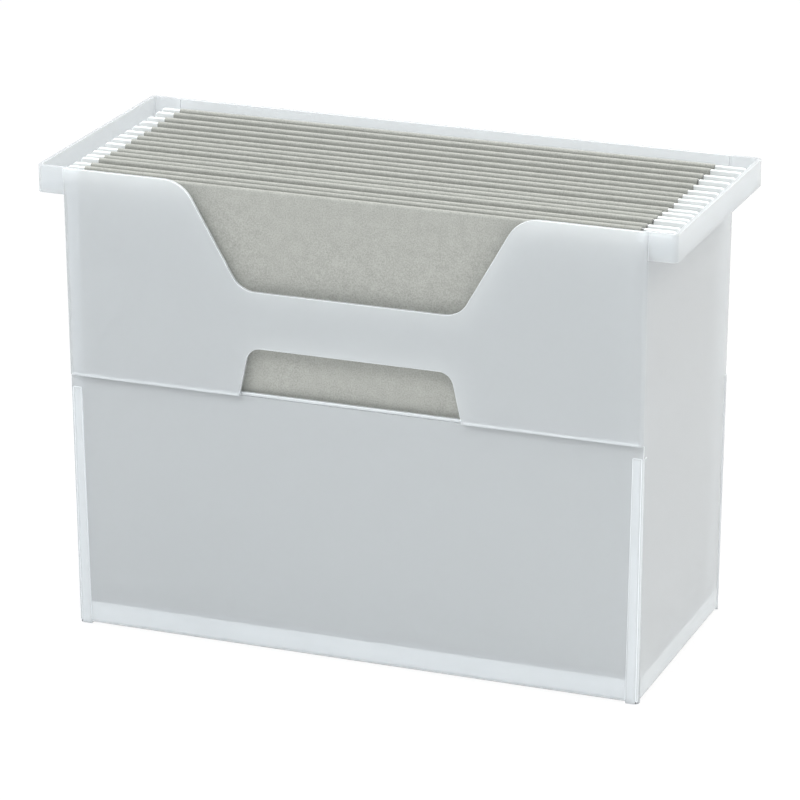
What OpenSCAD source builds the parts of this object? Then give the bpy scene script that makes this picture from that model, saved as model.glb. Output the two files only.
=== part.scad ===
// Open-top file tub of frosted plastic, full of hanging folders that hook over its end walls.
// Millimetres. X runs along the width, Y from the scooped front to the back, and Z up.
// The origin is the centre of the base, on the surface that the four corner feet stand on.

/* [Tub] */
// Outside width across the two end walls, at the rim
body_w = 313; // [250:1:380]
// Outside depth from the front wall to the back wall, at the rim
body_d = 146; // [118:1:200]
// Height from the feet to the rim
body_h = 250; // [205:1:310]
// Thickness of the walls
wall_t = 2; // [1.6:0.1:2.6]
// Thickness of the floor
floor_t = 2.2; // [1.6:0.1:3]
// Draft angle, by which every wall leans inwards going down
draft = 0.5; // [0.2:0.1:0.8]
// Radius of the upright corners
corner_r = 2.5; // [1:0.5:5]

/* [Stepped front] */
// How far the lower front panel stands back from the upper one
step_in = 2.2; // [2.1:0.1:4]
// Thickness of the web that joins the two panels
web_t = 1.6; // [1.4:0.1:3]

/* [Scoop] */
// Width of the scoop at the rim, between its sharp corners
scoop_top_w = 180; // [140:1:220]
// Width of the scoop at its bottom, between its sharp corners
scoop_bottom_w = 118; // [90:1:145]
// Depth of the scoop below the rim
scoop_depth = 54.5; // [40:0.5:66]
// Radius of the two shoulders at the rim
shoulder_r = 18; // [6:1:24]
// Radius of the two bottom corners
scoop_r = 14; // [6:1:20]

/* [Hand-hole] */
// Height of the bridge of wall between the scoop and the hand-hole
bridge_h = 30; // [20:1:40]
// Height of the hand-hole above the step
hole_h = 25; // [20:0.5:34]
// Width of the hand-hole at the step
hole_bottom_w = 120; // [90:1:150]
// Width of the hand-hole at its top, between its sharp corners
hole_top_w = 109; // [80:1:125]
// Radius of the two top corners
hole_r = 8; // [3:1:12]

/* [Rails and rims] */
// How far each rim stands out beyond its end wall
rim_out = 14.5; // [12:0.5:18]
// Clearance between the hooks and the floor of the rim's channel
hook_floor_gap = 0.5; // [0.4:0.1:4]
// How far the rim's front wall stands back from the front of the tub
rim_set = 1.5; // [0.5:0.5:4]
// Radius of the rim's upright outer corners
rim_r = 3; // [1:0.5:6]

/* [Corner posts and feet] */
// Width of a post on the front and back walls, at its top
post_top_w = 6; // [4:0.5:8]
// Width of a post on the front and back walls, at its foot
post_foot_w = 7; // [5:0.5:10]
// Width of a post on the end walls
post_side_w = 3.5; // [3:0.5:8]
// How far a post stands proud of the walls
post_proud = 0.4; // [0.2:0.1:1]
// Distance from the step down to the top of a post
post_gap = 8.5; // [4:0.5:20]
// Height of the feet below the floor
foot_h = 0.6; // [0.4:0.1:2]
// Bevel along the bottom edges of the walls
bottom_bevel = 1; // [0.4:0.1:1.6]

/* [Folders] */
// Number of hanging folders
folder_count = 8; // [1:1:8]
// Thickness of the folder card
card_t = 0.5; // [0.4:0.1:0.6]
// Gap between the folder's edge and the end wall, at the bottom fold
card_side_gap = 3.2; // [1.6:0.1:4]
// Gap between the folder's bottom fold and the floor
card_floor_gap = 9.2; // [4:0.1:20]
// Outside radius of the bottom fold
fold_r = 1.5; // [1:0.1:2]

/* [Rods and hook tips] */
// Thickness of the steel strip
strip_t = 1.2; // [0.8:0.1:1.4]
// Height of the steel strip
strip_h = 9; // [8:0.1:9.4]
// Thickness of the strip's tongue inside a hook tip
tongue_t = 1; // [0.8:0.1:1.1]
// Height of the strip's tongue inside a hook tip
tongue_h = 3; // [2:0.1:3.4]
// Thickness of a hook tip
tip_t = 2; // [1.8:0.1:2.2]
// Length of a hook tip
tip_len = 17; // [15:0.5:20]
// Height of the part of a hook tip that lies on the rail
tip_bar_h = 5; // [4:0.1:5.5]
// Depth of the rim below which the rods lie
rod_drop = 3; // [1:0.5:5]
// Gap from the end of a centred rod to the inside of the rim
rod_end_gap = 5.8; // [4:0.1:7]
// Clearance between a hook and the outer face of the rail, with the rod centred
hook_play = 3.3; // [1:0.1:3.6]
// The same clearance at the left rail, with the rods slid to the right as they lie
hook_rest_gap = 0.3; // [0.2:0.05:0.8]
// Clearance between a resting hook and the top of the rail
rest_gap = 0.3; // [0.2:0.05:0.5]
// Clearance of the rods and tips inside the card hems, and of the tongues inside the tips
slip_gap = 0.1; // [0.05:0.05:0.15]

/* [Hidden] */
EPS = 0.01;
CUT = 1;
ARC_STEPS = 12;

lean = tan(draft);
rim_z = body_h;
step_z = rim_z - scoop_depth - bridge_h - hole_h;
floor_z = foot_h + floor_t;
post_top_z = step_z - post_gap;
front_y = -body_d / 2;
back_y = body_d / 2;
rim_x = body_w / 2 + rim_out;

// Rods and rails: the rods set the height of the rail that they lie on and the depth of the rims
rod_top_z = rim_z - rod_drop;
rail_z = rod_top_z - tip_bar_h - rest_gap;
channel_z = rod_top_z - strip_h - hook_floor_gap;
skirt_z = channel_z - wall_t;
rod_end_x = rim_x - wall_t - rod_end_gap;
beak_x = body_w / 2 + hook_play;
strip_end_x = rod_end_x - tip_len;
rod_shift = hook_play - hook_rest_gap;
tip_end_t = 1.2;

// Folder card
fold_bottom_z = floor_z + card_floor_gap;
fold_z = fold_bottom_z + fold_r;
card_w = body_w - 2 * (wall_t + (rim_z - fold_bottom_z) * lean + card_side_gap);
cavity_w = tip_t + 2 * slip_gap;
hem_w = cavity_w + 2 * card_t;
hem_top_z = rod_top_z + slip_gap + card_t;
hem_bottom_z = rod_top_z - strip_h - slip_gap - card_t;
hem_corner_r = 0.8;
cavity_corner_r = 0.3;

// Radii of the inside corners of the walls, at least, of the channels, and of the outside corners
// where the bottom bevel narrows them, at least
inner_corner_r = 1.2;
channel_corner_r = 1;
bevel_corner_r = 0.3;

// Places of the rods along the rails, front to back, as the folders hang in a tub 140 mm
// deep inside: the gap before each folder's front rod, and from there to its rear rod
gap_before = [6, 6.5, 5.5, 6.5, 8.5, 8.5, 10, 10.5];
gap_inside = [7.5, 9.5, 7.5, 9.5, 7.5, 9.5, 9, 8];
spacing_scale = (body_d - 2 * wall_t) / 140;
// How far each folder's card lies off centre
card_offset = [-1, -0.5, 0, 1, 0.5, 0.5, -0.5, 0];

function sum_to(list, n) = n <= 0 ? 0 : list[n - 1] + sum_to(list, n - 1);
function front_rod_y(i) =
    front_y + wall_t + spacing_scale * (sum_to(gap_before, i) + sum_to(gap_inside, i - 1));
function rear_rod_y(i) = front_rod_y(i) + spacing_scale * gap_inside[i - 1];
function fold_y(i) = (front_rod_y(i) + rear_rod_y(i)) / 2;

PIECES = ["jacket", "front_rod", "rear_rod",
          "front_left_tip", "front_right_tip", "rear_left_tip", "rear_right_tip"];

TUB_COLOUR = [0.86, 0.90, 0.92, 0.55];
CARD_COLOUR = [0.67, 0.68, 0.64];
STEEL_COLOUR = [0.62, 0.63, 0.64];
TIP_COLOUR = [0.93, 0.94, 0.94];

// Points of an arc about a centre, from angle a to angle b
function arc(centre, r, a, b) =
    [for (s = [0 : ARC_STEPS]) centre + r * [cos(a + (b - a) * s / ARC_STEPS),
                                             sin(a + (b - a) * s / ARC_STEPS)]];

// The same points on the other side of the centre line, in reverse
function mirrored(points) =
    [for (s = [len(points) - 1 : -1 : 0]) [-points[s][0], points[s][1]]];

// A rectangle with rounded corners, from its low corner
module rounded_rect(low, size, r) {
    translate(low + [r, 0]) square([size[0] - 2 * r, size[1]]);
    translate(low + [0, r]) square([size[0], size[1] - 2 * r]);
    for (x = [r, size[0] - r], y = [r, size[1] - r])
        translate(low + [x, y]) circle(r, $fn = 32);
}

// Points of the tub's outline at one height: moved in by inset all round, and by front_in more in
// front
function tub_ring(z, inset, front_in) =
    let (x = body_w / 2 - (rim_z - z) * lean - inset,
         y = body_d / 2 - (rim_z - z) * lean - inset,
         r = max(corner_r - inset, inset < wall_t ? bevel_corner_r : inner_corner_r),
         centres = [[x - r, y - r], [r - x, y - r], [r - x, r - y + front_in], [x - r, r - y + front_in]])
    [for (q = [0 : 3]) for (p = arc(centres[q], r, 90 * q, 90 * q + 90)) [p[0], p[1], z]];

// A block between two heights, with the draft of the tub's walls and a bevel at its foot
module drafted_block(z_low, z_high, inset, front_in, bevel = 0) {
    foot = bevel > 0 ? tub_ring(z_low, inset + bevel, front_in) : [];
    points = concat(foot, tub_ring(z_low + bevel, inset, front_in), tub_ring(z_high, inset, front_in));
    n = 4 * (ARC_STEPS + 1);
    top = len(points) - n;
    polyhedron(points, concat([[for (s = [0 : n - 1]) s]],
                              [[for (s = [n - 1 : -1 : 0]) top + s]],
                              [for (low = [0 : n : top - 1]) for (s = [0 : n - 1])
                                  let (next = (s + 1) % n)
                                  [low + s, low + n + s, low + n + next, low + next]]));
}

// Place of the front wall's outer face at a height
function wall_y(z) = front_y + (rim_z - z) * lean;

// Everything in front of the lower panel, below the web, with the bevel along the panel's foot
module front_recess() {
    foot_y = wall_y(foot_h) + step_in;
    web_z = step_z - web_t;
    along_x(2 * rim_x)
        polygon([[front_y - CUT, -CUT], [foot_y + bottom_bevel + foot_h + CUT, -CUT],
                 [foot_y + bottom_bevel, foot_h],
                 [wall_y(foot_h + bottom_bevel) + step_in, foot_h + bottom_bevel],
                 [wall_y(web_z) + step_in, web_z], [front_y - CUT, web_z]]);
}

// Everything in front of the lower panel's inner face, below the step
module front_fill()
    along_x(2 * rim_x)
        polygon([[front_y - CUT, -CUT], [wall_y(-CUT) + step_in + wall_t, -CUT],
                 [wall_y(step_z) + step_in + wall_t, step_z], [front_y - CUT, step_z]]);

// A profile in Y and Z drawn out to a length along X, centred
module along_x(length)
    rotate([90, 0, 90])
        linear_extrude(length, center = true)
            children();

// Corner columns that the posts and feet are cut from, wider at the foot
module post_columns() {
    x = body_w / 2 + post_proud;
    foot_x = x - (rim_z - foot_h) * lean - post_foot_w;
    top_x = x - (rim_z - post_top_z) * lean - post_top_w;
    for (side = [-1, 1])
        translate([0, body_d, 0])
            rotate([90, 0, 0])
                linear_extrude(2 * body_d)
                    polygon([[side * foot_x, -CUT], [side * top_x, post_top_z + CUT],
                             [side * (x + CUT), post_top_z + CUT], [side * (x + CUT), -CUT]]);
}

// Strips along the front and back that the corner posts reach into the end walls by
module post_strips() {
    half_d = body_d / 2 - rim_z * lean + post_proud;
    front_low = -half_d + step_in + post_side_w;
    back_low = half_d - post_side_w;
    for (strip = [[-body_d, front_low], [back_low, body_d]])
        translate([-body_w, strip[0], -CUT])
            cube([2 * body_w, strip[1] - strip[0], post_top_z + 2 * CUT]);
}

// The four corner posts, which also form the feet
module corner_posts() intersection() {
    drafted_block(0, post_top_z, -post_proud, step_in);
    post_columns();
    post_strips();
}

// The boxed rims beyond the end walls, solid
module rim_blocks() {
    depth = body_d - rim_set;
    for (side = [0, 1])
        mirror([side, 0, 0])
            translate([0, 0, skirt_z])
                linear_extrude(rim_z - skirt_z)
                    intersection() {
                        rounded_rect([0, front_y + rim_set], [rim_x, depth], rim_r);
                        translate([body_w / 2 - wall_t, front_y - CUT])
                            square([rim_out + wall_t + CUT, body_d + 2 * CUT]);
                    }
}

// The channels inside the rims, which leave the end walls standing as rails
module rim_channels() {
    y_low = front_y + rim_set + wall_t;
    size = [rim_out - wall_t, back_y - wall_t - y_low];
    for (side = [0, 1])
        mirror([side, 0, 0]) {
            translate([0, 0, channel_z])
                linear_extrude(rim_z - channel_z + CUT)
                    rounded_rect([body_w / 2, y_low], size, channel_corner_r);
            translate([body_w / 2 - wall_t - CUT / 2, y_low, rail_z])
                cube([wall_t + CUT / 2 + size[0] / 2, size[1], rim_z - rail_z + CUT]);
        }
}

// Right half of the scoop's outline, from the bottom corner up past the rim
function scoop_half() =
    let (bottom_z = rim_z - scoop_depth,
         slope = atan((scoop_top_w - scoop_bottom_w) / 2 / scoop_depth),
         fillet = scoop_r * tan(45 - slope / 2),
         shoulder = shoulder_r * tan(45 - slope / 2))
    concat(arc([scoop_bottom_w / 2 - fillet, bottom_z + scoop_r], scoop_r, -90, -slope),
           arc([scoop_top_w / 2 + shoulder, rim_z - shoulder_r], shoulder_r, 180 - slope, 90),
           [[scoop_top_w / 2 + shoulder, rim_z + CUT]]);

// Right half of the hand-hole's outline above the step, up to its top corner
function hole_half() =
    let (slope = atan((hole_bottom_w - hole_top_w) / 2 / hole_h),
         fillet = hole_r * tan(45 - slope / 2))
    concat([[hole_bottom_w / 2, step_z]],
           arc([hole_top_w / 2 - fillet, step_z + hole_h - hole_r], hole_r, slope, 90));

// Right half of the notch that carries the hand-hole down through the web
function notch_half() =
    let (run = (hole_bottom_w - hole_top_w) / 2 / hole_h * (web_t + CUT))
    [[hole_bottom_w / 2 + run, step_z - web_t - CUT], [hole_bottom_w / 2, step_z + EPS]];

// A hole through the front wall, from the front back to y_in
module front_cut(outline_half, y_in)
    translate([0, y_in, 0])
        rotate([90, 0, 0])
            linear_extrude(y_in - front_y + CUT)
                polygon(concat(outline_half, mirrored(outline_half)));

// One-piece moulded tub
module tub() color(TUB_COLOUR) difference() {
    union() {
        difference() {
            drafted_block(foot_h, rim_z, 0, 0, bottom_bevel);
            front_recess();
        }
        corner_posts();
        rim_blocks();
    }
    difference() {
        drafted_block(floor_z, rim_z + CUT, wall_t, 0);
        front_fill();
    }
    rim_channels();
    front_cut(scoop_half(), front_y + wall_t + CUT);
    front_cut(hole_half(), wall_y(step_z) + wall_t + EPS);
    front_cut(notch_half(), wall_y(step_z) + step_in);
}

// Closed hem around one rod
module hem(y) difference() {
    rounded_rect([y - hem_w / 2, hem_bottom_z], [hem_w, hem_top_z - hem_bottom_z], hem_corner_r);
    rounded_rect([y - cavity_w / 2, hem_bottom_z + card_t],
                 [cavity_w, hem_top_z - hem_bottom_z - 2 * card_t], cavity_corner_r);
}

// Points down one flap, from beside its rod to the fold, inset from its outer face; side is -1 in
// front and 1 behind
function flap_edge(rod_y, middle_y, side, inset) =
    [[rod_y + side * (hem_w / 2 - inset), hem_bottom_z + 2 * hem_corner_r],
     [rod_y + side * (hem_w / 2 - inset), hem_bottom_z + hem_corner_r],
     [middle_y + side * (fold_r - inset), fold_z]];

// One face of the card from the front hem round the fold to the rear hem
function card_face(i, inset) =
    concat(flap_edge(front_rod_y(i), fold_y(i), -1, inset),
           arc([fold_y(i), fold_z], fold_r - inset, 180, 360),
           [for (s = [2 : -1 : 0]) flap_edge(rear_rod_y(i), fold_y(i), 1, inset)[s]]);

// The two flaps and the bottom fold of one folder
module flaps(i) {
    inside = card_face(i, card_t);
    polygon(concat(card_face(i, 0), [for (s = [len(inside) - 1 : -1 : 0]) inside[s]]));
}

// Folded card of one folder, hung between its two rods
module jacket(i) color(CARD_COLOUR)
    translate([card_offset[i - 1] - card_w / 2, 0, 0])
        rotate([90, 0, 90])
            linear_extrude(card_w) {
                hem(front_rod_y(i));
                hem(rear_rod_y(i));
                flaps(i);
            }

// Steel strip with a tongue at each end
module rod(y) color(STEEL_COLOUR)
    translate([rod_shift, y, rod_top_z]) {
        tongue_x = rod_end_x - tip_end_t;
        tongue_z = (tip_bar_h - tongue_h) / 2;
        translate([-strip_end_x, -strip_t / 2, -strip_h])
            cube([2 * strip_end_x, strip_t, strip_h]);
        translate([-tongue_x, -tongue_t / 2, -tongue_z - tongue_h])
            cube([2 * tongue_x, tongue_t, tongue_h]);
    }

// Outline of a right-hand hook tip: a bar on the rail and a beak outside it
function tip_outline() =
    let (nose_r = 2, lip_r = min(1, (rod_end_x - beak_x) / 3), low_z = -strip_h, bar_z = -tip_bar_h)
    concat([[strip_end_x + slip_gap, 0], [strip_end_x + slip_gap, bar_z], [beak_x, bar_z]],
           arc([beak_x + lip_r, low_z + lip_r], lip_r, 180, 270),
           arc([rod_end_x - lip_r, low_z + lip_r], lip_r, 270, 360),
           arc([rod_end_x - nose_r, -nose_r], nose_r, 0, 90));

// Plastic hook tip pushed over the tongue; side is -1 at the left end, 1 at the right
module tip(y, side) color(TIP_COLOUR)
    translate([rod_shift, y, rod_top_z])
        mirror([side < 0 ? 1 : 0, 0, 0])
            difference() {
                translate([0, tip_t / 2, 0])
                    rotate([90, 0, 0])
                        linear_extrude(tip_t)
                            polygon(tip_outline());
                pocket_x = rod_end_x - tip_end_t + slip_gap;
                pocket_z = (tip_bar_h - tongue_h) / 2 - slip_gap;
                translate([0, -tongue_t / 2 - slip_gap, -tip_bar_h + pocket_z])
                    cube([pocket_x, tongue_t + 2 * slip_gap, tongue_h + 2 * slip_gap]);
            }

tub();
for (i = [1 : folder_count]) {
    jacket(i);
    rod(front_rod_y(i));
    rod(rear_rod_y(i));
    tip(front_rod_y(i), -1);
    tip(front_rod_y(i), 1);
    tip(rear_rod_y(i), -1);
    tip(rear_rod_y(i), 1);
}
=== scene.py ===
"""Looks of an open-top file tub of frosted plastic, full of hanging folders of grey card.

The tub, the folders' rods and their hook tips are the CAD nodes with moulded edges; the tub's
bevels take a less clear plastic, a painted highlight along its edges, and its rims past the end
walls are painted greyer, a painted shade. The folders' jackets are replaced by swept sheets of
card. Bars of whiter plastic lie inside the tub's walls: in the posts and webs partly the paler
scatter of thick plastic and partly painted light, in the sill a painted highlight, in the feet
painted light.
"""
import math
import random

import bmesh
import bpy
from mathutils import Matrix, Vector


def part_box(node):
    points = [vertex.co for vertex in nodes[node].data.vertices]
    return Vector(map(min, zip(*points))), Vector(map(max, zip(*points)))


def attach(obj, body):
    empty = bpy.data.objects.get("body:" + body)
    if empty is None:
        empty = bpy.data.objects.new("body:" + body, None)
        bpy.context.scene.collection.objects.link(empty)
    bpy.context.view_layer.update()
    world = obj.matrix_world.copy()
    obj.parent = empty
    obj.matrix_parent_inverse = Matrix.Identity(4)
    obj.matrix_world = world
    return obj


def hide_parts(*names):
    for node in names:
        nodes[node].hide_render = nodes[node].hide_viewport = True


FOLDERS = range(1, 9)
ENDS = {-1: "left", 1: "right"}
FACES = {-1: "front", 1: "back"}
ROD_SIDES = ("front", "rear")

# Tub, in metres: width at the rim, draft of the walls, step of the front wall, hand-hole, posts
BODY_W = 0.313
LEAN = math.tan(math.radians(0.5))
STEP_IN = 0.0022
STEP_Z = 0.1405
WEB_LOW = 0.1389
HOLE_W = 0.120
POST_W = 0.0060
POST_TOP = 0.132
POST_SIDE_W = 0.0035
WALL_T = 0.0020

# Distances from the tub's middle between which the plastic turns greyer, at the end walls: a
# painted shade on the rims past them
RIM_SHADE_FROM = BODY_W / 2 - 0.002
RIM_SHADE_TO = BODY_W / 2 + 0.001

# Edge radii of the CAD nodes, and the modifiers that prepare their meshes for them
TUB_EDGE = 0.0002
ROD_EDGE = 0.00012
TIP_EDGE = 0.00045
WELD_GAP = 1e-6
FLAT_ANGLE = math.radians(0.1)
SHARP_ANGLE = math.radians(30)

# Bars of whiter plastic inside the tub's walls, in the posts and webs partly the paler scatter of
# thick sections and partly painted light, in the sill and feet painted light only: how deep they
# lie (x, y for posts and webs), how thick they are, and how far their ends stay from the edges
CORE_SKIN = 0.0004
FRONT_POST_SKIN = (0.0004, 0.0002)
BACK_POST_SKIN = (0.0009, 0.0004)
WEB_SKIN = (0.0018, 0.0003)
CORE_T = 0.0013
CORE_EDGE = 0.0002
CORE_GAP = 0.0002
POST_CORE_LOW = 0.0015
POST_CORE_GAP = 0.001
WEB_HOLE_GAP = 0.001
SILL_CORE_H = 0.0015
FOOT_SKIN = 0.0007
FOOT_T = 0.0009
FOOT_LOW = 0.0019
FOOT_HIGH = 0.0126

# Folder card, in metres: gap round the rod, glued strip inside the hem, radius of the bottom fold
CARD_T = 0.00042
HEM_GAP = 0.0011
HEM_GLUE = 0.014
GLUE_STEPS = (1.0, 0.6, 0.25)
GLUE_NEST = 1.15
FOLD_R = 0.0014
ARC_STEPS = 8
FLAP_STEPS = 15
CARD_SECTIONS = 48
CREASE_ANGLE = math.radians(40)

# Heights of the hem's points over the rod's bottom edge, and below the crown of the bend
HEM_INSIDE = (0.0012, 0.004)
HEM_OUTSIDE = (0.004, 0.001)
HEM_CROWN_DROP = 0.0008

# Waves along the card's width, and how far a flap bows out
WAVE_SEED = 100
BROAD_WAVE = 0.0009
SHORT_WAVE = 0.0004
FLAP_BOW = (0.0003, 0.0014)
BOW_SWELL = 0.6

PLASTIC_COLOUR = (0.86, 0.90, 0.93)
PLASTIC_IOR = 1.49
MILKY_SHARE = 0.12
WHITE = (1.0, 1.0, 1.0, 1.0)

FLOOR_SIZE = 8.0
FLOOR_DROP = 0.0002
FLOOR_GLOW = 0.9
ROOM_LIGHT = 0.7

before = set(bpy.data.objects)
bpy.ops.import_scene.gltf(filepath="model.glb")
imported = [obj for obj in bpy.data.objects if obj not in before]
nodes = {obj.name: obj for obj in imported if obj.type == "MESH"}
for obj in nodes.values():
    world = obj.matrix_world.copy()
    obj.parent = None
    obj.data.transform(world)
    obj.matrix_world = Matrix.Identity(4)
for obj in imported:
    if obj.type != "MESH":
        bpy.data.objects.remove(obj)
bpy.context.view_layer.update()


# ---------------------------------------------------------------- helpers

def link(tree, a, b):
    """Joins an output socket to an input socket."""
    tree.links.new(a, b)


def add(tree, kind, x, y, **values):
    """A node at a place in the tree, with values for its inputs and properties."""
    n = tree.nodes.new(kind)
    n.location = (x, y)
    for key, value in values.items():
        if key in n.inputs:
            n.inputs[key].default_value = value
        else:
            setattr(n, key, value)
    return n


def place_object(name, data):
    """A new object with this data, in the scene's collection."""
    o = bpy.data.objects.new(name, data)
    bpy.context.scene.collection.objects.link(o)
    return o


def solid_object(name, mesh, material):
    """A new object from a closed bmesh, with its faces turned outwards."""
    bmesh.ops.recalc_face_normals(mesh, faces=mesh.faces)
    data = bpy.data.meshes.new(name)
    mesh.to_mesh(data)
    mesh.free()
    data.materials.append(material)
    return place_object(name, data)


def aim(o, direction):
    """Turns a light or camera to look along a direction."""
    o.rotation_euler = direction.to_track_quat("-Z", "Y").to_euler()


# ---------------------------------------------------------------- materials

def new_group(name, inputs, outputs):
    """An empty shader group with (name, socket type, default) inputs and (name, type) outputs."""
    g = bpy.data.node_groups.new(name, "ShaderNodeTree")
    for label, kind, default in inputs:
        g.interface.new_socket(label, in_out="INPUT", socket_type=kind).default_value = default
    for label, kind in outputs:
        g.interface.new_socket(label, in_out="OUTPUT", socket_type=kind)
    return g, add(g, "NodeGroupInput", -900, 0), add(g, "NodeGroupOutput", 600, 0)


def fine_grain():
    """Noise at two scales, as a height and as a mottled mask."""
    g, source, sink = new_group(
        "fine_grain",
        [("Fine Scale", "NodeSocketFloat", 2000.0), ("Broad Scale", "NodeSocketFloat", 60.0),
         ("Broad Share", "NodeSocketFloat", 0.3)],
        [("Height", "NodeSocketFloat"), ("Mottle", "NodeSocketFloat")])
    place = add(g, "ShaderNodeTexCoord", -900, -250)
    fine = add(g, "ShaderNodeTexNoise", -600, 150, Detail=3.0, Roughness=0.6)
    broad = add(g, "ShaderNodeTexNoise", -600, -150, Detail=2.0, Roughness=0.5)
    mix = add(g, "ShaderNodeMix", -200, 0, data_type="FLOAT")
    for noise, scale in ((fine, "Fine Scale"), (broad, "Broad Scale")):
        link(g, place.outputs["Object"], noise.inputs["Vector"])
        link(g, source.outputs[scale], noise.inputs["Scale"])
    link(g, source.outputs["Broad Share"], mix.inputs["Factor"])
    link(g, fine.outputs["Fac"], mix.inputs["A"])
    link(g, broad.outputs["Fac"], mix.inputs["B"])
    link(g, fine.outputs["Fac"], sink.inputs["Height"])
    link(g, mix.outputs["Result"], sink.inputs["Mottle"])
    return g


GRAIN = fine_grain()


def new_material(name, **values):
    """A material with one Principled BSDF set to the values."""
    m = bpy.data.materials.new(name)
    m.use_nodes = True
    shader = m.node_tree.nodes["Principled BSDF"]
    for key, value in values.items():
        shader.inputs[key].default_value = value
    return m, m.node_tree, shader


def add_grain(tree, fine, broad, share):
    """The grain at a material's own two scales, the broad one mixed in by a share."""
    grain = add(tree, "ShaderNodeGroup", -700, 0, node_tree=GRAIN)
    grain.inputs["Fine Scale"].default_value = fine
    grain.inputs["Broad Scale"].default_value = broad
    grain.inputs["Broad Share"].default_value = share
    return grain


def add_bump(tree, height, shader, strength, distance):
    """Raises the surface's normal by a height."""
    bump = add(tree, "ShaderNodeBump", -250, -300, Strength=strength, Distance=distance)
    link(tree, height, bump.inputs["Height"])
    link(tree, bump.outputs["Normal"], shader.inputs["Normal"])


def add_ramp(tree, value, target, stops, y=150):
    """Maps a value to a colour through (position, colour) stops."""
    ramp = add(tree, "ShaderNodeValToRGB", -400, y)
    while len(ramp.color_ramp.elements) < len(stops):
        ramp.color_ramp.elements.new(0.5)
    for element, (place, colour) in zip(ramp.color_ramp.elements, stops):
        element.position = place
        element.color = (*colour, 1.0)
    link(tree, value, ramp.inputs["Fac"])
    link(tree, ramp.outputs["Color"], target)


def mottle_roughness(tree, grain, shader, low, high):
    """Lets the roughness wander between two levels with the grain's mottle."""
    add_ramp(tree, grain.outputs["Mottle"], shader.inputs["Roughness"],
             [(0.3, (low,) * 3), (0.7, (high,) * 3)])


def frosted_plastic(name, transmission, rim_shade):
    """Milky plastic with a fine matt texture, greyer by rim_shade in the rims past the end walls, a
    painted shade.
    """
    m, tree, shader = new_material(
        name, **{"IOR": PLASTIC_IOR, "Transmission Weight": transmission})
    # Painted shade: the base colour greys by rim_shade across the rims past the end walls
    place = add(tree, "ShaderNodeTexCoord", -1300, 300)
    axes = add(tree, "ShaderNodeSeparateXYZ", -1100, 300)
    reach = add(tree, "ShaderNodeMath", -900, 300, operation="ABSOLUTE")
    share = add(tree, "ShaderNodeMapRange", -700, 300,
                **{"From Min": RIM_SHADE_FROM, "From Max": RIM_SHADE_TO})
    link(tree, place.outputs["Object"], axes.inputs["Vector"])
    link(tree, axes.outputs["X"], reach.inputs[0])
    link(tree, reach.outputs[0], share.inputs["Value"])
    add_ramp(tree, share.outputs["Result"], shader.inputs["Base Color"],
             [(0.0, PLASTIC_COLOUR), (1.0, tuple(rim_shade * c for c in PLASTIC_COLOUR))], y=400)
    grain = add_grain(tree, 600.0, 25.0, 0.6)
    mottle_roughness(tree, grain, shader, 0.19, 0.25)
    add_bump(tree, grain.outputs["Height"], shader, 0.03, 0.0001)
    milky = add(tree, "ShaderNodeBsdfTranslucent", 0, -450, Color=(1.0, 0.99, 0.96, 1.0))
    mix = add(tree, "ShaderNodeMixShader", 350, 0, Fac=MILKY_SHARE)
    link(tree, shader.outputs["BSDF"], mix.inputs[1])
    link(tree, milky.outputs["BSDF"], mix.inputs[2])
    link(tree, mix.outputs["Shader"], tree.nodes["Material Output"].inputs["Surface"])
    return m


def folder_card():
    """Grey-green card with a fibrous mottle."""
    m, tree, shader = new_material(
        "folder_card", **{"Roughness": 0.9, "Specular IOR Level": 0.3, "Sheen Weight": 0.05})
    grain = add_grain(tree, 1400.0, 180.0, 0.2)
    add_ramp(tree, grain.outputs["Mottle"], shader.inputs["Base Color"],
             [(0.30, (0.255, 0.263, 0.240)), (0.50, (0.328, 0.334, 0.310)),
              (0.70, (0.398, 0.405, 0.378))])
    add_bump(tree, grain.outputs["Height"], shader, 0.25, 0.0002)
    return m


def rod_steel():
    """Plain rolled steel strip."""
    m, tree, shader = new_material(
        "rod_steel", **{"Base Color": (0.62, 0.63, 0.64, 1.0), "Metallic": 1.0, "Roughness": 0.35})
    grain = add_grain(tree, 900.0, 90.0, 0.5)
    mottle_roughness(tree, grain, shader, 0.28, 0.42)
    return m


def hook_plastic():
    """White plastic of the hook tips, with a little light going into it."""
    m, tree, shader = new_material(
        "hook_plastic", **{"Base Color": (0.78, 0.805, 0.805, 1.0), "Roughness": 0.35,
                           "IOR": PLASTIC_IOR, "Subsurface Weight": 0.3,
                           "Subsurface Scale": 0.001, "Subsurface Radius": (1.0, 1.0, 1.0)})
    grain = add_grain(tree, 1200.0, 150.0, 0.5)
    mottle_roughness(tree, grain, shader, 0.30, 0.40)
    add_bump(tree, grain.outputs["Height"], shader, 0.05, 0.0001)
    return m


def scatter_and_painted_light_core():
    """A whiter heart for the tub's walls: in the thick posts and webs partly the paler scatter of
    milky plastic and partly painted light, in the sill and feet painted light only.
    """
    m, tree, shader = new_material(
        "scatter_and_painted_light_core", **{"Roughness": 0.8, "Specular IOR Level": 0.2})
    grain = add_grain(tree, 400.0, 30.0, 0.7)
    add_ramp(tree, grain.outputs["Mottle"], shader.inputs["Base Color"],
             [(0.3, (0.90, 0.93, 0.95)), (0.7, (0.96, 0.98, 0.99))])
    return m


# The last number of each is its painted shade on the rims past the end walls
FROSTED = frosted_plastic("frosted_plastic", 0.63, 0.93)
# The plastic of the tub's bevels lets less light through, so its edges show as pale lines: a
# painted highlight
FROSTED_EDGE_HIGHLIGHT = frosted_plastic("frosted_plastic_edge_highlight", 0.2, 0.72)
CARD = folder_card()
STEEL = rod_steel()
HOOK = hook_plastic()
CORE = scatter_and_painted_light_core()


# ---------------------------------------------------------------- CAD nodes with moulded edges

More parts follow.
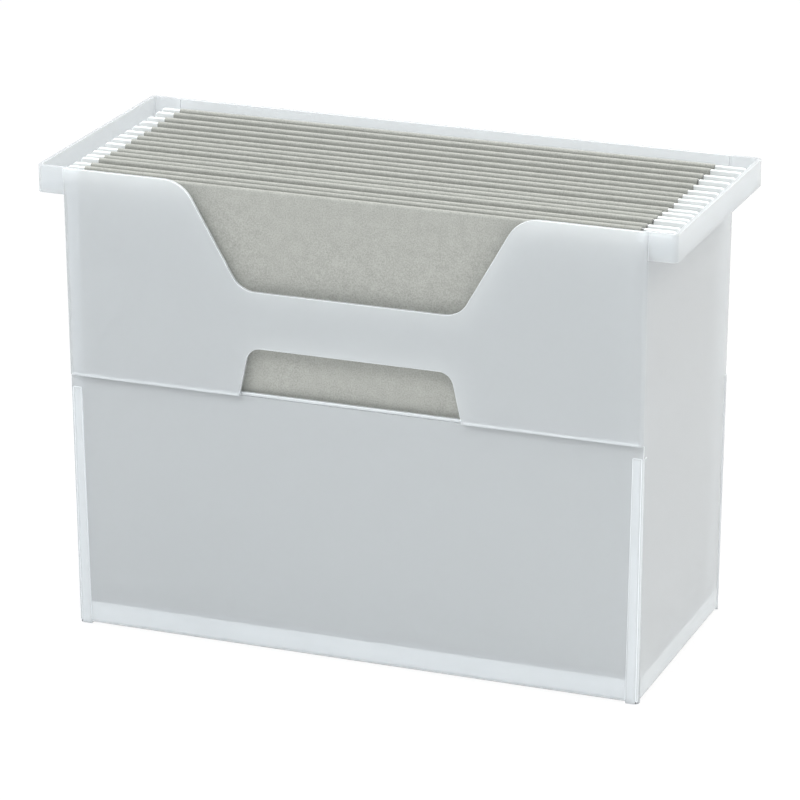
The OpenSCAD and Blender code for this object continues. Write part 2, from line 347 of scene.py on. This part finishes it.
def finish_node(name, material, radius, segments=2):
    """Gives a CAD node its material, and rounds its sharp edges by a small moulded radius."""
    o = nodes[name]
    o.data.materials.clear()
    o.data.materials.append(material)
    o.modifiers.new("weld", "WELD").merge_threshold = WELD_GAP
    flats = o.modifiers.new("flat_faces", "DECIMATE")
    flats.decimate_type = "DISSOLVE"
    flats.angle_limit = FLAT_ANGLE
    edges = o.modifiers.new("moulded_edges", "BEVEL")
    edges.width = radius
    edges.segments = segments
    edges.limit_method = "ANGLE"
    edges.angle_limit = SHARP_ANGLE
    edges.use_clamp_overlap = False
    edges.miter_outer = "MITER_ARC"
    o.modifiers.new("even_normals", "WEIGHTED_NORMAL").keep_sharp = True
    return o


tub = finish_node("tub", FROSTED, TUB_EDGE)
# The bevels take the edge plastic: a painted highlight along the tub's edges
tub.data.materials.append(FROSTED_EDGE_HIGHLIGHT)
tub.modifiers["moulded_edges"].material = 1
for n in FOLDERS:
    for side in ROD_SIDES:
        finish_node(f"folder_{n}_{side}_rod", STEEL, ROD_EDGE)
        for end in ENDS.values():
            finish_node(f"folder_{n}_{side}_{end}_tip", HOOK, TIP_EDGE, 3)


# ---------------------------------------------------------------- whiter bars in the tub's walls: thick sections' scatter and painted light
# In these functions end is -1 or 1 for left or right, and face is -1 or 1 for front or back.

_, tub_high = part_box("tub")


def wall_x(z):
    """Outer face of the right end wall at a height; the left one mirrors it."""
    return BODY_W / 2 - (tub_high.z - z) * LEAN


def wall_y(z):
    """Outer face of the back wall at a height; the upper front wall mirrors it."""
    return tub_high.y - (tub_high.z - z) * LEAN


def low_wall_y(face, z):
    """Distance of the lower front wall or of the back wall from the middle, at a height."""
    return wall_y(z) - (STEP_IN if face < 0 else 0)


def core_bar(name, corners, z_low, z_high):
    """A bar inside a wall: corners(z) gives its low and high x and y at a height."""
    mesh = bmesh.new()
    rings = []
    for z in (z_low, z_high):
        x0, x1, y0, y1 = corners(z)
        ring = ((x0, y0, z), (x1, y0, z), (x1, y1, z), (x0, y1, z))
        rings.append([mesh.verts.new(p) for p in ring])
    low, high = rings
    mesh.faces.new(low[::-1])
    mesh.faces.new(high)
    for k in range(4):
        mesh.faces.new((low[k], low[(k + 1) % 4], high[(k + 1) % 4], high[k]))
    bar = solid_object(name, mesh, CORE)
    edges = bar.modifiers.new("soft_edges", "BEVEL")
    edges.width = CORE_EDGE
    edges.segments = 2
    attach(bar, "tub")


def post_core(end, face):
    """Heart of a corner post: partly the paler scatter of the thick post, partly painted light."""
    skin_x, skin_y = FRONT_POST_SKIN if face < 0 else BACK_POST_SKIN

    def corners(z):
        x = sorted((end * (wall_x(z) - skin_x), end * (wall_x(z) - POST_W)))
        outer = low_wall_y(face, z) - skin_y
        y = sorted((face * outer, face * (outer - CORE_T)))
        return (*x, *y)
    core_bar(f"post_core_{ENDS[end]}_{FACES[face]}", corners,
             POST_CORE_LOW, POST_TOP - POST_CORE_GAP)


def web_core(end):
    """Heart of the web that joins the two front panels, beside the hand-hole: partly the paler
    scatter of the thick web, partly painted light.
    """
    def corners(z):
        x = sorted((end * (HOLE_W / 2 + WEB_HOLE_GAP), end * (wall_x(z) - WEB_SKIN[0])))
        return (*x, -wall_y(z) + WEB_SKIN[1], -wall_y(z) + STEP_IN + CORE_T)
    core_bar(f"web_core_{ENDS[end]}", corners, WEB_LOW + CORE_GAP, STEP_Z - CORE_GAP)


def sill_painted_highlight():
    """Heart of the lower panel's top edge, along the hand-hole: a painted highlight on the edge."""
    def corners(z):
        outer = -wall_y(z) + STEP_IN
        return (CORE_SKIN - HOLE_W / 2, HOLE_W / 2 - CORE_SKIN,
                outer + CORE_SKIN, outer + WALL_T - CORE_SKIN)
    core_bar("sill_painted_highlight", corners, STEP_Z - SILL_CORE_H, STEP_Z - CORE_GAP)


def painted_light_foot(face):
    """Heart of the front or back wall's foot, between the posts: painted light that makes the foot
    paler.
    """
    def corners(z):
        x = wall_x(z) - POST_W - CORE_SKIN
        outer = low_wall_y(face, z) - FOOT_SKIN
        y = sorted((face * outer, face * (outer - FOOT_T)))
        return (-x, x, *y)
    core_bar(f"painted_light_foot_{FACES[face]}", corners, FOOT_LOW, FOOT_HIGH)


def painted_light_end_foot(end):
    """Heart of an end wall's foot, between the posts: painted light that makes the foot paler."""
    def corners(z):
        outer = wall_x(z) - FOOT_SKIN
        x = sorted((end * outer, end * (outer - FOOT_T)))
        return (*x, -wall_y(z) + STEP_IN + POST_SIDE_W, wall_y(z) - POST_SIDE_W)
    core_bar(f"painted_light_foot_{ENDS[end]}", corners, FOOT_LOW, FOOT_HIGH)


sill_painted_highlight()
for end, face in zip(ENDS, FACES):
    painted_light_foot(face)
    painted_light_end_foot(end)
    web_core(end)
    for post_face in FACES:
        post_core(end, post_face)


# ---------------------------------------------------------------- folder card

def half_circle(start):
    """Angles of a half turn, from a start angle."""
    return [start + math.pi * s / ARC_STEPS for s in range(ARC_STEPS + 1)]


def card_line(front_y, rear_y, top, rod_bottom, fold_bottom, bow):
    """Centre line (y, z) of the card: glued strip, hem, flap, fold, and up again to the rear."""
    fold_y = (front_y + rear_y) / 2
    fold_z = fold_bottom + FOLD_R
    wrap = HEM_GAP + CARD_T / 2
    crown = top - wrap
    halves = []
    for side, y in ((-1, front_y), (1, rear_y)):
        strip = [(y + side * (wrap - CARD_T * GLUE_NEST), rod_bottom - HEM_GLUE * t)
                 for t in GLUE_STEPS]
        inside = [(y - side * wrap, rod_bottom + rise) for rise in HEM_INSIDE]
        inside.append((y - side * wrap, crown - HEM_CROWN_DROP))
        over = [(y + wrap * math.cos(a) * -side, crown + wrap * math.sin(a))
                for a in half_circle(0)]
        outside = [(y + side * wrap, rod_bottom + rise) for rise in HEM_OUTSIDE]
        flap = []
        for s in range(1, FLAP_STEPS):
            t = s / FLAP_STEPS
            z = rod_bottom + (fold_z - rod_bottom) * t
            straight = y + side * wrap + (fold_y + side * FOLD_R - y - side * wrap) * t
            flap.append((straight + side * bow * math.sin(math.pi * t), z))
        halves.append(strip + inside + over + outside + flap)
    fold = [(fold_y + FOLD_R * math.cos(a), fold_z + FOLD_R * math.sin(a))
            for a in half_circle(math.pi)]
    return halves[0] + fold + halves[1][::-1]


def thick_outline(line, t):
    """Closed outline of a strip of thickness t along a line of points."""
    left, right = [], []
    for k, p in enumerate(line):
        a, b = line[max(k - 1, 0)], line[min(k + 1, len(line) - 1)]
        d = Vector((b[0] - a[0], b[1] - a[1])).normalized()
        n = Vector((-d.y, d.x)) * t / 2
        left.append((p[0] + n.x, p[1] + n.y))
        right.append((p[0] - n.x, p[1] - n.y))
    return left + right[::-1]


def card_mesh(rings):
    """Joins the rings of vertices along the card's width, and closes its two cut edges."""
    mesh = bmesh.new()
    rings = [[mesh.verts.new(p) for p in ring] for ring in rings]
    count = len(rings[0])
    for a, b in zip(rings, rings[1:]):
        for k in range(count):
            mesh.faces.new((a[k], a[(k + 1) % count], b[(k + 1) % count], b[k]))
    for ring, flip in ((rings[0], True), (rings[-1], False)):
        for k in range(count // 2 - 1):
            quad = (ring[k], ring[k + 1], ring[count - 2 - k], ring[count - 1 - k])
            mesh.faces.new(quad[::-1] if flip else quad)
    return mesh


def folder_jacket(n):
    """One sheet of card, swept along its width with the slight waves that card takes."""
    low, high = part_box(f"folder_{n}_jacket")
    front_low, front_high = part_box(f"folder_{n}_front_rod")
    rear_low, rear_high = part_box(f"folder_{n}_rear_rod")
    front, rear = (front_low + front_high) / 2, (rear_low + rear_high) / 2
    rng = random.Random(WAVE_SEED + n)
    # four draws, of which three are phases; the last keeps the bow's draw in its place
    phase = [rng.uniform(0, 2 * math.pi) for _ in range(4)]
    bow = rng.uniform(*FLAP_BOW)
    rings = []
    for s in range(CARD_SECTIONS + 1):
        u = s / CARD_SECTIONS
        x = low.x + (high.x - low.x) * u
        wave = (BROAD_WAVE * math.sin(2 * math.pi * u + phase[0])
                + SHORT_WAVE * math.sin(5 * math.pi * u + phase[1]))
        swell = 1 + BOW_SWELL * math.sin(math.pi * u + phase[2])
        line = card_line(front.y, rear.y, high.z - CARD_T / 2, rear_low.z, low.z, bow * swell)
        ring = []
        for y, z in thick_outline(line, CARD_T):
            depth = min(max((high.z - z) / (high.z - low.z), 0), 1)
            ring.append((x, y + wave * math.sin(math.pi * depth), z))
        rings.append(ring)
    card = solid_object(f"folder_{n}_card", card_mesh(rings), CARD)
    for face in card.data.polygons:
        face.use_smooth = len(face.vertices) == 4
    card.data.set_sharp_from_angle(angle=CREASE_ANGLE)
    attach(card, f"folder_{n}")
    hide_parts(f"folder_{n}_jacket")


for n in FOLDERS:
    folder_jacket(n)


# ---------------------------------------------------------------- floor, light and camera

def direct_rays(tree):
    """1 for the camera's rays, and those that gloss or glass sends on; 0 for all others."""
    path = add(tree, "ShaderNodeLightPath", -700, 200)
    seen = add(tree, "ShaderNodeMath", -500, 200, operation="MAXIMUM")
    through = add(tree, "ShaderNodeMath", -320, 200, operation="MAXIMUM")
    link(tree, path.outputs["Is Camera Ray"], seen.inputs[0])
    link(tree, path.outputs["Is Glossy Ray"], seen.inputs[1])
    link(tree, seen.outputs[0], through.inputs[0])
    link(tree, path.outputs["Is Transmission Ray"], through.inputs[1])
    return through.outputs[0]


def mix_to(tree, output_kind, share, a, b):
    """Puts a mix of two shaders, by a share of the second, out to the surface."""
    mix = add(tree, "ShaderNodeMixShader", 80, 0)
    out = add(tree, output_kind, 280, 0)
    link(tree, share, mix.inputs["Fac"])
    link(tree, a.outputs[0], mix.inputs[1])
    link(tree, b.outputs[0], mix.inputs[2])
    link(tree, mix.outputs[0], out.inputs["Surface"])


def backdrop_material():
    """White floor whose own light fills in most of the shadow for the camera, gloss and glass."""
    m = bpy.data.materials.new("studio_floor")
    m.use_nodes = True
    tree = m.node_tree
    tree.nodes.clear()
    rays = direct_rays(tree)
    share = add(tree, "ShaderNodeMath", -140, 200, operation="MULTIPLY")
    share.inputs[1].default_value = FLOOR_GLOW
    link(tree, rays, share.inputs[0])
    plain = add(tree, "ShaderNodeBsdfDiffuse", -140, 0, Color=(0.93, 0.93, 0.93, 1.0))
    glow = add(tree, "ShaderNodeEmission", -140, -150, Color=WHITE, Strength=1.0)
    mix_to(tree, "ShaderNodeOutputMaterial", share.outputs[0], plain, glow)
    return m


def studio_floor():
    """The white floor, just under the tub."""
    bpy.ops.mesh.primitive_plane_add(size=FLOOR_SIZE, location=(0, 0, -FLOOR_DROP))
    floor = bpy.context.object
    floor.name = "studio_floor"
    floor.data.materials.append(backdrop_material())


def studio_world(level):
    """White behind the tub, and a cooler room of this level that lights it."""
    world = bpy.data.worlds.new("studio")
    bpy.context.scene.world = world
    world.use_nodes = True
    tree = world.node_tree
    tree.nodes.clear()
    rays = direct_rays(tree)
    room = add(tree, "ShaderNodeBackground", -140, 0, Color=(0.96, 0.98, 1.0, 1.0), Strength=level)
    white = add(tree, "ShaderNodeBackground", -140, -150, Color=WHITE, Strength=1.0)
    mix_to(tree, "ShaderNodeOutputWorld", rays, room, white)


def softbox(name, place, target, size, watts, colour=(1.0, 1.0, 1.0)):
    """A rectangular light at a place, turned to a target."""
    light = bpy.data.lights.new(name, "AREA")
    light.shape = "RECTANGLE"
    light.size, light.size_y = size
    light.energy = watts
    light.color = colour
    o = place_object(name, light)
    o.location = place
    aim(o, Vector(target) - Vector(place))


def photo_camera(azimuth, elevation, distance, target, lens):
    """Camera to the right of the front by azimuth and above by elevation, in degrees."""
    a, e = math.radians(azimuth), math.radians(elevation)
    back = Vector((math.sin(a) * math.cos(e), -math.cos(a) * math.cos(e), math.sin(e)))
    camera = bpy.data.cameras.new("photo_camera")
    camera.lens = lens
    camera.sensor_width = 36.0
    o = place_object("photo_camera", camera)
    o.location = Vector(target) + back * distance
    aim(o, -back)
    bpy.context.scene.camera = o


studio_floor()
studio_world(ROOM_LIGHT)
softbox("softbox_front", (-0.5, -1.25, 1.9), (0, 0, 0.12), (1.4, 1.0), 31.5)
softbox("softbox_right", (0.8, 0.5, 0.9), (0.1, 0, 0.25), (0.5, 0.5), 6.0, (1.0, 0.95, 0.87))
softbox("softbox_top", (0.1, 0.3, 1.8), (0, 0, 0.1), (1.2, 0.9), 17.0)
photo_camera(21.0, 19.3, 2.209, (-0.0001, 0.0, 0.1209), 190.87)
bpy.context.scene.view_settings.view_transform = "Standard"
